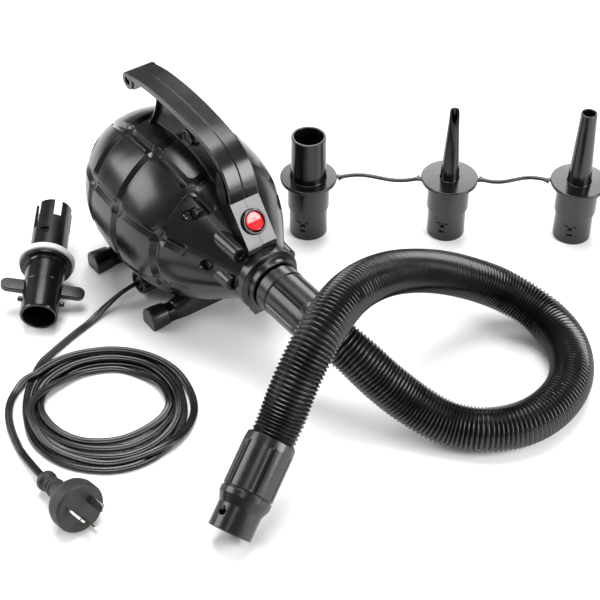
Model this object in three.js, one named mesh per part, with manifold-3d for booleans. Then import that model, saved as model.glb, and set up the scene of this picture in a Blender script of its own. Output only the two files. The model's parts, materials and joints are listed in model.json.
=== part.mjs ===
// Electric air pump for mattresses: a ribbed egg-shaped housing with a carrying handle, a round rocker
// switch, a corrugated hose, a mains lead with its plug, a valve adapter and a strip of three nozzles.
// Millimetres, +Z up. The origin is the centre of the front foot's underside, on the floor.
// +X points out of the air outlet and +Y is the pump's left, seen from behind.
import * as THREE from 'three';
import { mergeVertices } from 'three/addons/utils/BufferGeometryUtils.js';
import Module from 'manifold-3d';

const wasm = await Module();
wasm.setup();

// ---- driving dimensions -------------------------------------------------------------------------
const GAP = 0.3; // clearance kept between touching pieces
const AXIS_HEIGHT = 74; // motor axis above the floor
const BODY_X = -34; // the widest part of the housing, measured from the front foot
const WALL = 2.6; // housing wall
const ROUND = 28; // facets round a large turned piece
const HANDLE_HALF = 12.3; // half the width of the handle band
const WEB_HALF = 7; // half the thickness of the web under the band
const SHAFT_R = 4;
const FOOT_X = 34; // front foot, in pump coordinates
const REAR_FOOT_X = -50;
const FOOT_WIDTH = 17;
const FOOT_HEIGHT = 16;
const FOOT_REACH = 58; // from the middle plane to a foot's end
const HOSE_R = 16.25;
const CUFF_R = 18.3;
const CUFF_LENGTH = 46;
const SPIGOT_R = 15.4;
const SPIGOT_LENGTH = 18;
const CORD_HALF_WIDTH = 2.8; // flat two-core lead

// ---- materials ----------------------------------------------------------------------------------
const look = (color, roughness, metalness = 0) =>
  new THREE.MeshStandardMaterial({ color, roughness, metalness });
const housingPlastic = look(0x0c0c0d, 0.28);
const gripPlastic = look(0x151517, 0.45);
const rubber = look(0x111111, 0.7);
const hosePlastic = look(0x0b0b0c, 0.3);
const cordPvc = look(0x0e0e0e, 0.4);
const switchRed = look(0xd01418, 0.2);
const whiteFoam = look(0xeeeeee, 0.6);
const steel = look(0xb8b8bc, 0.3, 1);
const iron = look(0x6a6c70, 0.5, 0.9);
const copper = look(0xb4622d, 0.4, 1);
const carbon = look(0x222224, 0.8);
const brass = look(0xc9a95a, 0.3, 1);
const nylon = look(0xd8d4c8, 0.5);

// ---- solids -------------------------------------------------------------------------------------
function toSolid(geometry) {
  const bare = geometry.clone();
  bare.deleteAttribute('normal');
  bare.deleteAttribute('uv');
  const merged = mergeVertices(bare.index ? bare.toNonIndexed() : bare, 1e-4);
  const points = merged.attributes.position.array;
  const faces = [];
  let volume = 0;
  for (let i = 0; i < merged.index.count; i += 3) {
    const [a, b, c] = [0, 1, 2].map((k) => merged.index.getX(i + k));
    if (a === b || b === c || c === a) continue;
    faces.push(a, b, c);
    const [p, q, r] = [a, b, c].map((k) => new THREE.Vector3().fromArray(points, 3 * k));
    volume += p.dot(q.cross(r));
  }
  if (volume < 0) faces.reverse();
  return new wasm.Manifold(
    new wasm.Mesh({ numProp: 3, vertProperties: new Float32Array(points), triVerts: new Uint32Array(faces) }),
  );
}

function toGeometry(solid) {
  const mesh = solid.getMesh();
  const geometry = new THREE.BufferGeometry();
  geometry.setAttribute('position', new THREE.BufferAttribute(new Float32Array(mesh.vertProperties), 3));
  geometry.setIndex(new THREE.BufferAttribute(new Uint32Array(mesh.triVerts), 1));
  geometry.computeVertexNormals();
  return geometry;
}

const place = (geometry, x = 0, y = 0, z = 0) => toSolid(geometry.translate(x, y, z));
const box = (sx, sy, sz, x = 0, y = 0, z = 0) => place(new THREE.BoxGeometry(sx, sy, sz), x, y, z);
const join = (...solids) => solids.reduce((a, b) => a.add(b));
const cut = (solid, ...tools) => tools.reduce((a, b) => a.subtract(b), solid);

// A profile of [along, radius] points turned about X, Y or Z.
function turned(profile, axis = 'x', facets = ROUND) {
  const geometry = new THREE.LatheGeometry(profile.map(([s, r]) => new THREE.Vector2(r, s)), facets);
  if (axis === 'x') geometry.rotateZ(-Math.PI / 2);
  if (axis === 'z') geometry.rotateX(Math.PI / 2);
  return toSolid(geometry);
}
const rod = (from, to, r, axis = 'x', facets = 24) =>
  turned([[from, 0], [from, r], [to, r], [to, 0]], axis, facets);
const ring = (from, to, rIn, rOut, axis = 'x', facets = ROUND) =>
  turned([[from, rIn], [from, rOut], [to, rOut], [to, rIn], [from, rIn]], axis, facets);

// An outline in the XZ plane, pushed along Y from y0 to y1.
function plate(outline, y0, y1) {
  const shape = new THREE.Shape(outline.map(([x, z]) => new THREE.Vector2(x, z)));
  const geometry = new THREE.ExtrudeGeometry(shape, { depth: y1 - y0, bevelEnabled: false });
  return toSolid(geometry.rotateX(Math.PI / 2).translate(0, y1, 0));
}

// A section swept along a smooth curve through the points.
function swept(points, section, steps) {
  const curve = new THREE.CatmullRomCurve3(points.map((p) => new THREE.Vector3(...p)), false, 'centripetal');
  return toSolid(new THREE.ExtrudeGeometry(section, { extrudePath: curve, steps, bevelEnabled: false }));
}
function ellipseSection(halfX, halfY, sides) {
  const corners = Array.from({ length: sides }, (_, i) => ((i + 0.5) / sides) * 2 * Math.PI);
  return new THREE.Shape(corners.map((t) => new THREE.Vector2(halfX * Math.cos(t), halfY * Math.sin(t))));
}

const model = new THREE.Group();
const pump = new THREE.Group();
pump.position.set(BODY_X, 0, AXIS_HEIGHT);
model.add(pump);

function piece(parent, name, solid, material) {
  const mesh = new THREE.Mesh(toGeometry(solid), material);
  mesh.name = name;
  parent.add(mesh);
  return mesh;
}

// ---- housing: two moulded halves split on the middle plane, handle and web included ---------------
const SHELL = [
  [-84, 31], [-75, 40.1], [-60, 51.5], [-40, 60.6], [-15, 64.4], [10, 65.2], [35, 61.6], [60, 51],
  [80, 38], [95, 28], [107, 22.5],
];
const REAR = SHELL[0][0];
const FRONT = SHELL[SHELL.length - 1][0];
const wholeBody = (grow) =>
  turned([[REAR - grow, 0], ...SHELL.map(([s, r]) => [s, r + grow]), [FRONT + grow, 0]]);
const lining = SHELL.filter((_, i) => i % 2 === 0).map(([s, r]) => [s, r - WALL]); // a coarser inside face
const shellWall = turned([...SHELL, ...[...lining].reverse(), SHELL[0]]);

// The handle band: a curve along its top, from the rear eyelet down to the switch panel.
const BAND_THICKNESS = 5.5;
const BAND_STEPS = 14;
const bandTop = new THREE.SplineCurve(
  [[-50, 95], [-30, 98.5], [0, 99.5], [25, 97.5], [50, 93], [65, 88], [76, 79.5], [83, 67], [85.5, 56]].map(
    ([x, z]) => new THREE.Vector2(x, z),
  ),
);
const topPoints = bandTop.getPoints(BAND_STEPS).map((p) => [p.x, p.y]);
const underPoints = Array.from({ length: BAND_STEPS + 1 }, (_, i) => {
  const p = bandTop.getPoint(i / BAND_STEPS);
  const t = bandTop.getTangent(i / BAND_STEPS);
  return [p.x + t.y * BAND_THICKNESS, p.y - t.x * BAND_THICKNESS];
});
const PANEL_TOP = [85.5, 56];
const PANEL_FOOT = [107, 28.5];
const EYELET = [-49, 88.5];
const bandOutline = [...topPoints, ...underPoints.reverse()];
const webOutline = [
  ...topPoints.slice(5, BAND_STEPS).map(([x, z]) => [x, z - 1]),
  [81, 56], [70, 40], [40, 50], [0, 55], [-30, 48], [-30, 57], [-26, 70], [-21, 80], [-15, 88],
];
const blockOutline = [[76, 79], [83, 67], PANEL_TOP, PANEL_FOOT, [107, 22], [92, 22], [72, 36], [70, 60]];
const panelSlope = Math.atan2(PANEL_TOP[1] - PANEL_FOOT[1], PANEL_FOOT[0] - PANEL_TOP[0]);
const panelAngle = THREE.MathUtils.radToDeg(panelSlope);
const panelCentre = [(PANEL_TOP[0] + PANEL_FOOT[0]) / 2, (PANEL_TOP[1] + PANEL_FOOT[1]) / 2];
// Turns a solid made about +Z at the origin so that it stands on the switch panel.
const onPanel = (solid) => solid.rotate([0, panelAngle, 0]).translate([panelCentre[0], 0, panelCentre[1]]);

// x and z of each housing screw
const SCREWS = [[28, 80], [62, 41], [84, 10], [-66, 30], [-66, -30], [45, -42]];
const SCREW_TOP = [-WEB_HALF, -26, -30, -26, -26, -26]; // y of each screw head's seat
const boss = (x, z, r, from, to, facets = 10) =>
  turned([[from, 0], [from, r], [to, r], [to, 0]], 'y', facets).translate([x, 0, z]);

const CORD_BOSS = [-1, -61]; // x and z of the tube that the mains lead leaves through
const handle = join(
  plate(bandOutline, -HANDLE_HALF, HANDLE_HALF),
  plate(webOutline, -WEB_HALF, WEB_HALF),
  plate(blockOutline, -HANDLE_HALF, HANDLE_HALF),
  boss(...EYELET, 7, -HANDLE_HALF, HANDLE_HALF),
);
const COLLAR_BOSSES = [[-20, 20], [-24, -4], [20, 20], [24, -4]]; // y and z of the outlet screw posts
const posts = COLLAR_BOSSES.map(([y, z]) => rod(84, FRONT, 5.5, 'x', 10).translate([0, y, z]));
const innerBody = turned([[REAR + 2, 0], ...lining, [FRONT - 4, 0]]);
const frontWall = ring(FRONT - 4, FRONT, 16.5, 21);
const shellAndPosts = join(shellWall, join(...posts, handle).subtract(innerBody), frontWall);
const cordBoss = boss(...CORD_BOSS, 9.8, -45, -14, 20).subtract(wholeBody(-1));
const switchWell = onPanel(rod(-30, 6, 8.9, 'z', 24));
const housing = cut(
  join(shellAndPosts, cordBoss),
  switchWell,
  boss(...EYELET, 3, -20, 20),
  boss(...CORD_BOSS, 6.8, -60, -10, 20),
  ...COLLAR_BOSSES.map(([y, z]) => rod(96, 112, 2, 'x', 10).translate([0, y, z])),
);
const screwPosts = (from, to, r, list) => list.map(([x, z]) => boss(x, z, r, from, to));
const insideScrews = SCREWS.slice(1);
const bodyClip = wholeBody(-1);
const rightPosts = join(...screwPosts(-60, 0, 5.5, insideScrews)).intersect(bodyClip);
const leftPosts = join(...screwPosts(0, 60, 5.5, insideScrews)).intersect(bodyClip);
const HALF = 200;
const rightSide = box(2 * HALF, HALF, 2 * HALF, 0, -HALF / 2 - GAP / 2, 0);
const leftSide = box(2 * HALF, HALF, 2 * HALF, 0, HALF / 2 + GAP / 2, 0);
const headWells = SCREWS.map(([x, z], i) => boss(x, z, 4.4, -80, SCREW_TOP[i]));
const SCREW_END = [4, 12, 10, 12, 12, 12]; // y of each screw's point
const shankHoles = SCREWS.map(([x, z], i) => boss(x, z, 2.1, -40, SCREW_END[i] + 1));
const rightHalf = join(housing, rightPosts).intersect(rightSide);
const leftHalf = join(housing, leftPosts).intersect(leftSide);
piece(pump, 'housing_right', cut(rightHalf, ...headWells, ...shankHoles), housingPlastic);
piece(pump, 'housing_left', cut(leftHalf, ...shankHoles), housingPlastic);
SCREWS.forEach(([x, z], i) => {
  const seat = SCREW_TOP[i];
  const screw = join(boss(x, z, 3.6, seat - 2.6, seat - GAP), boss(x, z, 1.7, seat - 1, SCREW_END[i]));
  piece(pump, `housing_screw_${i + 1}`, screw, steel);
});

// ---- rear air intake ------------------------------------------------------------------------------
const grilleDisc = turned([
  [-89, 0], [-88.5, 12], [-87, 22], [-84.5, 30.4], [-82, 30.4],
  [-82, 27.6], [-84.6, 21], [-86, 12], [-86.5, 0],
]);
const SLOT_CIRCLE = 22; // the slots end on a circle of this radius
const slotWidth = (z) => 2 * Math.sqrt(SLOT_CIRCLE ** 2 - z * z) - 4;
const slots = [-16, -8, 0, 8, 16].map((z) => box(12, slotWidth(z), 4, -86, 0, z));
const grilleRecess = ring(REAR - 0.1, -70, 28.4 - GAP, 60);
piece(pump, 'intake_grille', cut(grilleDisc, grilleRecess, ...slots), gripPlastic);

// ---- feet -----------------------------------------------------------------------------------------
const FLOOR = -AXIS_HEIGHT;
const CAP_LENGTH = 16; // rubber cap on each end
const NECK_WIDTH = FOOT_WIDTH - 6; // the cap's socket holds this neck
const NECK_HEIGHT = FOOT_HEIGHT - 6;
const bodyCutter = wholeBody(GAP);
function footBar(x) {
  const bar = box(FOOT_WIDTH, 2 * 36, FOOT_HEIGHT, x, 0, FLOOR + FOOT_HEIGHT / 2);
  const neck = box(NECK_WIDTH, 2 * (FOOT_REACH - 4), NECK_HEIGHT, x, 0, FLOOR + FOOT_HEIGHT / 2);
  const pedestal = box(FOOT_WIDTH, 36, 30, x, 0, FLOOR + 15);
  const clearOfBoss = boss(...CORD_BOSS, 10.4, -70, 0);
  return cut(join(bar, neck, pedestal), bodyCutter, clearOfBoss);
}
function footCap(x, side) {
  const r = FOOT_WIDTH / 2;
  const arch = Array.from({ length: 9 }, (_, i) => (i / 8) * Math.PI);
  const archPoints = arch.map((t) => [x + r * Math.cos(t), FLOOR + 8 + 8 * Math.sin(t)]);
  const inner = FOOT_REACH - CAP_LENGTH;
  const ends = side > 0 ? [inner, FOOT_REACH] : [-FOOT_REACH, -inner];
  const outside = plate([[x - r, FLOOR], [x + r, FLOOR], ...archPoints], ...ends);
  const socketY = side * (FOOT_REACH - 12 + GAP);
  const socket = box(NECK_WIDTH + 2 * GAP, 16, NECK_HEIGHT + 2 * GAP, x, socketY, FLOOR + FOOT_HEIGHT / 2);
  return outside.subtract(socket);
}
for (const [name, x] of [['front', FOOT_X], ['rear', REAR_FOOT_X]]) {
  piece(pump, `${name}_foot_bar`, footBar(x), housingPlastic);
  piece(pump, `${name}_foot_cap_right`, footCap(x, -1), rubber);
  piece(pump, `${name}_foot_cap_left`, footCap(x, 1), rubber);
}

// ---- outlet collar and its seal ---------------------------------------------------------------------
const COLLAR_X = FRONT + GAP;
const collarRing = turned([
  [COLLAR_X, 16], [COLLAR_X, 24.6], [COLLAR_X + 8, 24.6], [COLLAR_X + 9, 20.4], [COLLAR_X + 15, 20.4],
  [COLLAR_X + 15, 16], [COLLAR_X, 16],
]);
const collarHeel = box(8, 30, 12, COLLAR_X + 4, 0, -20.6).subtract(rod(0, 200, 22));
piece(pump, 'outlet_collar', join(collarRing, collarHeel), housingPlastic);
piece(pump, 'outlet_seal', ring(COLLAR_X - 5.3, COLLAR_X - 2.1, 13.4, 16.2, 'x', 24), rubber);

// ---- switch -----------------------------------------------------------------------------------------
const bezelProfile = [[GAP, 7.6], [GAP, 9.7], [1.6, 9.4], [2.2, 8.6], [2.2, 7.6], [GAP, 7.6]];
piece(pump, 'switch_bezel', onPanel(turned(bezelProfile, 'z', 24)), gripPlastic);
const switchBody = cut(
  rod(-19, 0, 8.5, 'z', 24),
  rod(-6, 1, 7.6, 'z', 24),
);
piece(pump, 'switch_body', onPanel(switchBody), gripPlastic);
[-4, 4].forEach((y, i) => {
  piece(pump, `switch_terminal_${i + 1}`, onPanel(box(4.8, 0.8, 7, 0, y, -19.3 - 3.5)), brass);
});
const ROCK = 9; // the rocker leans this far, in degrees, either side of level
const rockerBlank = turned([[-3.6, 0], [-3.6, 5.4], [0, 6.9], [2, 6.9], [2.6, 5.6], [2.6, 0]], 'z', 20);
const rockerPocket = turned([[2.2, 0], [2.2, 4.2], [5, 5.4], [5, 0]], 'z', 16);
piece(pump, 'switch_rocker', onPanel(rockerBlank.subtract(rockerPocket).rotate([0, -ROCK, 0])), switchRed);

// ---- motor ------------------------------------------------------------------------------------------
const CORE = [-30, 5];
piece(pump, 'stator_core', join(
  ring(...CORE, 29, 34),
  ...[1, -1].map((s) => ring(...CORE, 20.4, 29.5).intersect(box(60, 16, 30, 0, s * 26, 0))),
), iron);
[1, -1].forEach((s) => {
  const saddle = ring(CORE[0] - 8, CORE[1] + 7, 20.8, 28.6).intersect(box(80, 30, 30, 0, 0, s * 32));
  piece(pump, s > 0 ? 'field_coil_upper' : 'field_coil_lower', saddle, copper);
});
const bore = SHAFT_R + GAP;
const endWindings = ring(CORE[0] - 8, CORE[1] + 8, bore, 15.5, 'x', 20);
piece(pump, 'armature', join(ring(...CORE, bore, 19.6, 'x', 20), endWindings), iron);
piece(pump, 'commutator', ring(-50, CORE[0] - 8 - GAP, bore, 11, 'x', 24), brass);
piece(pump, 'motor_shaft', rod(-60, 41, SHAFT_R, 'x', 20), steel);
const BEARING_R = 11;
const bracket = (from, to) => cut(
  join(ring(from, to, bore, 34, 'x', 24).intersect(box(400, 80, 24)), ring(from, to, bore, 14, 'x', 20)),
  rod(from - 1, to + 1, BEARING_R + GAP, 'x', 20),
);
piece(pump, 'front_bearing', ring(14, 20, bore, BEARING_R, 'x', 20), steel);
piece(pump, 'rear_bearing', ring(-58, -52, bore, BEARING_R, 'x', 20), steel);
piece(pump, 'front_bracket', bracket(14.5, 19.5), iron);
piece(pump, 'rear_bracket', bracket(-57.5, -52.5), iron);
[1, -1].forEach((s) => {
  const side = s > 0 ? 'left' : 'right';
  const holder = box(9, 15, 11, -45, s * 20.5, 0).subtract(box(6.6, 30, 8.6, -45, s * 20.5, 0));
  piece(pump, `brush_holder_${side}`, holder, brass);
  piece(pump, `carbon_brush_${side}`, box(6, 12, 8, -45, s * 17.5, 0), carbon);
});
function mount(from, to, r) {
  const windows = [45, 135, 225, 315].map((a) => box(60, 34, 13, 0, 0, 45.5).rotate([a, 0, 0]));
  return cut(ring(from, to, 34.8, r, 'x', 24), ...windows);
}
piece(pump, 'motor_mount_rear', mount(-26, -21, 57.6), rubber);
piece(pump, 'motor_mount_front', mount(-4, 1, 60.2), rubber);

// ---- fan --------------------------------------------------------------------------------------------
piece(pump, 'fan_baffle', ring(21, 23, 22, 58.6), gripPlastic);
const BLADES = 6;
// Each blade leans back more the further out it is.
const bladeStep = (k) => box(7.5, 2, 13.5, 28, 3 + 1.9 * k * k, 14 + 12.5 * k).rotate([-5 * k, 0, 0]);
const blade = join(...[0, 1, 2].map(bladeStep));
const blades = Array.from({ length: BLADES }, (_, i) => blade.rotate([(360 / BLADES) * i, 0, 0]));
const wheel = join(ring(31, 33, bore, 50), ring(24.5, 33, bore, 9, 'x', 16), ...blades);
piece(pump, 'impeller', wheel.intersect(ring(23.6, 34, bore, 50)), nylon);
piece(pump, 'impeller_nut', rod(33 + GAP, 38, 7, 'x', 6).subtract(rod(30, 40, bore, 'x', 16)), steel);

// ---- mains lead ---------------------------------------------------------------------------------------
const relief = boss(...CORD_BOSS, 6.2, -44.4, -26, 14);
const reliefHole = boss(...CORD_BOSS, 3.4, -60, -42);
piece(pump, 'cord_strain_relief', relief.subtract(reliefHole), rubber);

const COIL_CENTRE = [58, -130];
const COIL_OUTER = 64.5;
const COIL_INNER = 36;
const COIL_HEIGHT = 10;
const flexSection = ellipseSection(CORD_HALF_WIDTH, CORD_HALF_WIDTH, 8);
const LEAD = [
  [-35, -42.5, 13], [-35, -50, 12.8], [-35, -60, 11], [-34.5, -70, 7.5], [-32.6, -81, 4.2],
  [-29, -93, 2.9], [-25, -107, 2.9], [-20.5, -121, 2.9], [-16, -134, 2.9], [-11.5, -145, 2.9],
];
const TAIL = [
  [-0.5, -165.5, 2.9], [4.3, -175.5, 2.9], [11, -183.3, 2.9], [20.5, -190, 2.9], [32, -195, 2.9],
  [45, -198.5, 2.9], [59, -200.8, 3.2], [75, -201.9, 4.6], [95, -202.6, 8.3],
];
piece(model, 'cord_lead', swept(LEAD, flexSection, 26), cordPvc);
const coilRing = ring(0.1, COIL_HEIGHT, COIL_INNER, COIL_OUTER, 'z', 32);
piece(model, 'cord_coil', coilRing.translate([...COIL_CENTRE, 0]), cordPvc);
piece(model, 'cord_tail', swept(TAIL, flexSection, 24), cordPvc);

// The plug lies on the floor, resting on its round face's edge and its strain relief.
const plug = new THREE.Group();
plug.position.set(100, -202.2, 9.3);
plug.rotation.set(0, -THREE.MathUtils.degToRad(13.5), THREE.MathUtils.degToRad(3));
model.add(plug);
piece(plug, 'plug_body', turned([
  [-4, 0], [-4, 5], [-1, 7.3], [2, 7.3], [5, 5], [8, 5], [12, 6.5], [28, 11], [33, 17.2],
  [36, 18], [44, 18], [46, 17], [46, 0],
], 'x', 24), cordPvc);
const pinBlade = box(17, 1.6, 6.3, 46 + GAP + 8.5, 0, 0);
const pinAt = (y, z, turn) => pinBlade.rotate([turn, 0, 0]).translate([0, y, z]);
piece(plug, 'plug_pin_active', pinAt(-7.9, 4.2, 30), brass);
piece(plug, 'plug_pin_neutral', pinAt(7.9, 4.2, -30), brass);
piece(plug, 'plug_pin_earth', pinAt(0, -9.5, 0), brass);

// ---- hose -----------------------------------------------------------------------------------------------
const cuffSleeve = turned([
  [0, 14], [0, CUFF_R - 1.5], [2, CUFF_R], [CUFF_LENGTH - 5, CUFF_R], [CUFF_LENGTH, CUFF_R - 0.8],
  [CUFF_LENGTH, 14], [0, 14],
], 'x', 24);
const spigot = turned([
  [-SPIGOT_LENGTH, 12.8], [-SPIGOT_LENGTH, SPIGOT_R], [-1, SPIGOT_R], [-1, 16.4], [-GAP, 16.4], [-GAP, 12.8],
  [-SPIGOT_LENGTH, 12.8],
], 'x', 24);
const lockHole = boss(-9, 0, 2.2, -30, 0);
const CUFF_START = 123.6; // where the pump-end cuff begins, along the outlet axis
const nearCuff = new THREE.Group();
nearCuff.position.set(CUFF_START, 0, 0);
pump.add(nearCuff);
piece(nearCuff, 'hose_cuff_pump_end', join(cuffSleeve, spigot, ring(-1, 2, 14, 16.4, 'x', 24)), hosePlastic);

const HOSE = [
  [136.2, 0, 74], [141, 0, 74], [154, 2, 72.3], [170, 9, 63], [188, 20, 46], [207, 34, 29],
  [228, 49, 18.5], [248, 69, 16.6], [259, 97, 16.6], [256, 129, 16.6], [241, 156, 16.6], [214, 175, 17],
  [183, 178, 21], [157, 163, 33], [142, 132, 53], [138, 92, 76], [144, 50, 96], [157, 11, 107],
  [172, -22, 103.5], [180.5, -46.5, 84.5], [187.6, -66.5, 60], [191.9, -77.3, 49.8],
];
piece(model, 'hose', swept(HOSE, ellipseSection(HOSE_R, HOSE_R, 12), 50), hosePlastic);
const farCuff = new THREE.Group();
const CUFF_FALL = 33; // the free end leans down to the floor by this many degrees
const CUFF_HEADING = -66;
farCuff.position.set(192.9, -79.9, 48);
farCuff.rotation.set(0, THREE.MathUtils.degToRad(CUFF_FALL), THREE.MathUtils.degToRad(CUFF_HEADING), 'ZYX');
model.add(farCuff);
const flipped = (solid) => solid.rotate([0, 180, 0]).translate([CUFF_LENGTH, 0, 0]);
piece(farCuff, 'hose_cuff_free_end', flipped(cuffSleeve), hosePlastic);
piece(farCuff, 'hose_spigot_free_end', flipped(cut(spigot, lockHole)), hosePlastic);

// ---- valve adapter, lying on its flange and its open end -------------------------------------------------
const adapter = new THREE.Group();
adapter.position.set(-44.4, -127.8, 15);
const adapterTurns = [12, -8.4, 143.5].map(THREE.MathUtils.degToRad); // roll, tilt and heading
adapter.rotation.set(...adapterTurns, 'ZYX');
model.add(adapter);
const tube = turned([
  [0, 12.4], [0, 14.6], [48, 15.4], [49, 20.4], [52, 20.4], [52, 14.7], [110, 14.7], [110, 12.4], [0, 12.4],
], 'x', 24);
// Five slots part the fingers at the far end, as degrees round the tube and where each slot starts.
const FINGER_SLOTS = [[11.5, 94], [83.5, 84], [155.5, 84], [227.5, 84], [299.5, 84]];
const fingerSlots = FINGER_SLOTS.map(([a, from]) => box(40, 6, 20, from + 20, 0, 14).rotate([a, 0, 0]));
const WING_X = 27.5; // the middle of the wings
const wingOutline = new THREE.Shape();
wingOutline.moveTo(WING_X - 5.5, 13.5).lineTo(WING_X - 5.5, 27);
wingOutline.absarc(WING_X, 27, 5.5, Math.PI, 0, true).lineTo(WING_X + 5.5, 13.5);
const wingPlate = new THREE.ExtrudeGeometry(wingOutline, { depth: 5, bevelEnabled: false, curveSegments: 6 });
const wingSolid = place(wingPlate, 0, 0, -2.5);
const nub = turned([[13, 0], [13, 2], [17.4, 2], [18, 1.2], [18, 0]], 'y', 12).translate([15, 0, 0]);
const bothSides = (solid) => join(solid, solid.rotate([180, 0, 0]));
const adapterSolid = join(cut(tube, ...fingerSlots), bothSides(wingSolid), bothSides(nub));
piece(adapter, 'valve_adapter', adapterSolid, gripPlastic);
piece(adapter, 'valve_gasket', ring(52 + GAP, 57.5, 14.7 + GAP, 21.9, 'x', 24), whiteFoam);

// ---- three nozzles joined by wavy straps ------------------------------------------------------------------
const BARREL = 52; // height of each nozzle's socket, up to its flange
const FLANGE_R = 23;
const TOP = BARREL + 3; // upper face of the flange
const barrelProfile = [
  [0, 13.2], [0, 15.4], [26, 15.4], [26.6, 16.9], [BARREL, 16.9], [BARREL, FLANGE_R], [TOP, FLANGE_R],
];
const nozzles = [
  { name: 'nozzle_wide', at: [-23, 112], reach: 39, foot: 14.6, end: 13.9, hole: [11.6, 12] },
  { name: 'nozzle_flute', at: [45, 203], reach: 65, foot: 7.7, end: 3.6, hole: [2, 5.6] },
  { name: 'nozzle_narrow', at: [110, 284], reach: 65, foot: 9.6, end: 6.4, hole: [4.8, 7.4] },
];
nozzles.forEach(({ name, at, reach, foot, end, hole }) => {
  const tip = [[TOP, foot], [TOP + reach, end], [TOP + reach, hole[0]], [BARREL, hole[1]]];
  const profile = [...barrelProfile, ...tip, [BARREL - 6, 13.2], [0, 13.2]];
  let solid = turned(profile, 'z', 20);
  if (name === 'nozzle_flute') {
    const scoop = box(30, 30, 40, 0, 0, 20).rotate([0, 71, 0]).translate([1.9, 0, TOP + 56]);
    solid = solid.subtract(scoop.rotate([0, 0, -36]));
  }
  piece(model, name, solid.translate([...at, 0]), gripPlastic);
});
function strap(from, to, wave) {
  const along = new THREE.Vector2(to[0] - from[0], to[1] - from[1]);
  const span = along.length();
  along.normalize();
  const start = FLANGE_R + 3 * GAP;
  const points = Array.from({ length: 9 }, (_, i) => {
    const s = start + ((span - 2 * start) * i) / 8;
    const side = wave * Math.sin((2 * Math.PI * i) / 8);
    return [from[0] + along.x * s - along.y * side, from[1] + along.y * s + along.x * side, BARREL + 1.5];
  });
  return swept(points, ellipseSection(1.5, 2.4, 6), 20);
}
piece(model, 'nozzle_strap_1', strap(nozzles[0].at, nozzles[1].at, 3.5), gripPlastic);
piece(model, 'nozzle_strap_2', strap(nozzles[1].at, nozzles[2].at, -3.5), gripPlastic);

export default model;
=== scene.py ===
"""Looks of the electric air mattress pump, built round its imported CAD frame.

The pump, its hose and its lead come first, then the adapter, the nozzles, the materials and the studio.
Shapes are written in millimetres. "Pump" coordinates run along the motor axis (X), to the pump's left (Y)
and up (Z), from the middle of the housing; the row frame starts at the front foot, on the floor.
"""
import json
import math

import bmesh
import bpy
from mathutils import Matrix, Vector


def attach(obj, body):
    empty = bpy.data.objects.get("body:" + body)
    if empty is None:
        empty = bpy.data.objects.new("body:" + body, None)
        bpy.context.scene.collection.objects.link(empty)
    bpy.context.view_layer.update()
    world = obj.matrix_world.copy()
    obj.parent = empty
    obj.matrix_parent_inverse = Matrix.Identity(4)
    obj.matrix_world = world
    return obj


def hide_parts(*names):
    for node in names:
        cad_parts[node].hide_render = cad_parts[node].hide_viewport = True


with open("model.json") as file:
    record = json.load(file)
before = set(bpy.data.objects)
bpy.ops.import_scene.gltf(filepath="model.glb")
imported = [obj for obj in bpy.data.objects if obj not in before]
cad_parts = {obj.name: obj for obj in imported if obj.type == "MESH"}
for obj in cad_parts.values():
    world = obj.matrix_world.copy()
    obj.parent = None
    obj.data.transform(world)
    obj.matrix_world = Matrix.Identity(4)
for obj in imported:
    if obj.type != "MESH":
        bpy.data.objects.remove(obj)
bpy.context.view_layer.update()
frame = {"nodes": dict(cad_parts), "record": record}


def shift(x, y, z):
    return Matrix.Translation((x, y, z))


def spin(degrees, axis):
    return Matrix.Rotation(math.radians(degrees), 4, axis)


MM = 0.001
AXIS_HEIGHT = 74
PUMP = shift(-34, 0, AXIS_HEIGHT)
ROW = Matrix.Identity(4)


# ---- camera ----
def make_camera():
    data = bpy.data.cameras.new("camera")
    data.lens, data.sensor_width = 91.04, 36
    data.clip_start, data.clip_end = 0.05, 20
    camera = bpy.data.objects.new("camera", data)
    bpy.context.scene.collection.objects.link(camera)
    place, target = Vector((0.762, -0.4722, 0.7948)), Vector((0.060, 0.0426, 0.0173))
    camera.location = place
    camera.rotation_euler = (target - place).to_track_quat("-Z", "Y").to_euler()
    bpy.context.scene.camera = camera


make_camera()


# ---- materials ----
def shader(name, color, roughness, metallic=0.0, coat=0.0, **sockets):
    """A Principled material, with its node tree and shader node, ready for more nodes."""
    material = bpy.data.materials.new(name)
    material.use_nodes = True
    tree = material.node_tree
    bsdf = tree.nodes["Principled BSDF"]
    bsdf.inputs["Base Color"].default_value = (*color, 1)
    bsdf.inputs["Roughness"].default_value = roughness
    bsdf.inputs["Metallic"].default_value = metallic
    bsdf.inputs["Coat Weight"].default_value = coat
    for socket, value in sockets.items():
        bsdf.inputs[socket.replace("_", " ")].default_value = value
    return material, tree, bsdf


def noise(tree, scale, detail=3.0, stretch=(1, 1, 1)):
    """A noise texture in object space; scale is in features per metre."""
    coordinates = tree.nodes.new("ShaderNodeTexCoord")
    mapping = tree.nodes.new("ShaderNodeMapping")
    mapping.inputs["Scale"].default_value = stretch
    texture = tree.nodes.new("ShaderNodeTexNoise")
    texture.inputs["Scale"].default_value = scale
    texture.inputs["Detail"].default_value = detail
    tree.links.new(coordinates.outputs["Object"], mapping.inputs["Vector"])
    tree.links.new(mapping.outputs["Vector"], texture.inputs["Vector"])
    return texture.outputs["Fac"]


def spread(tree, source, low, high, low_in=0.3, high_in=0.7):
    """Maps a 0 to 1 texture onto low..high."""
    node = tree.nodes.new("ShaderNodeMapRange")
    node.inputs["From Min"].default_value = low_in
    node.inputs["From Max"].default_value = high_in
    node.inputs["To Min"].default_value = low
    node.inputs["To Max"].default_value = high
    tree.links.new(source, node.inputs["Value"])
    return node.outputs["Result"]


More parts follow.
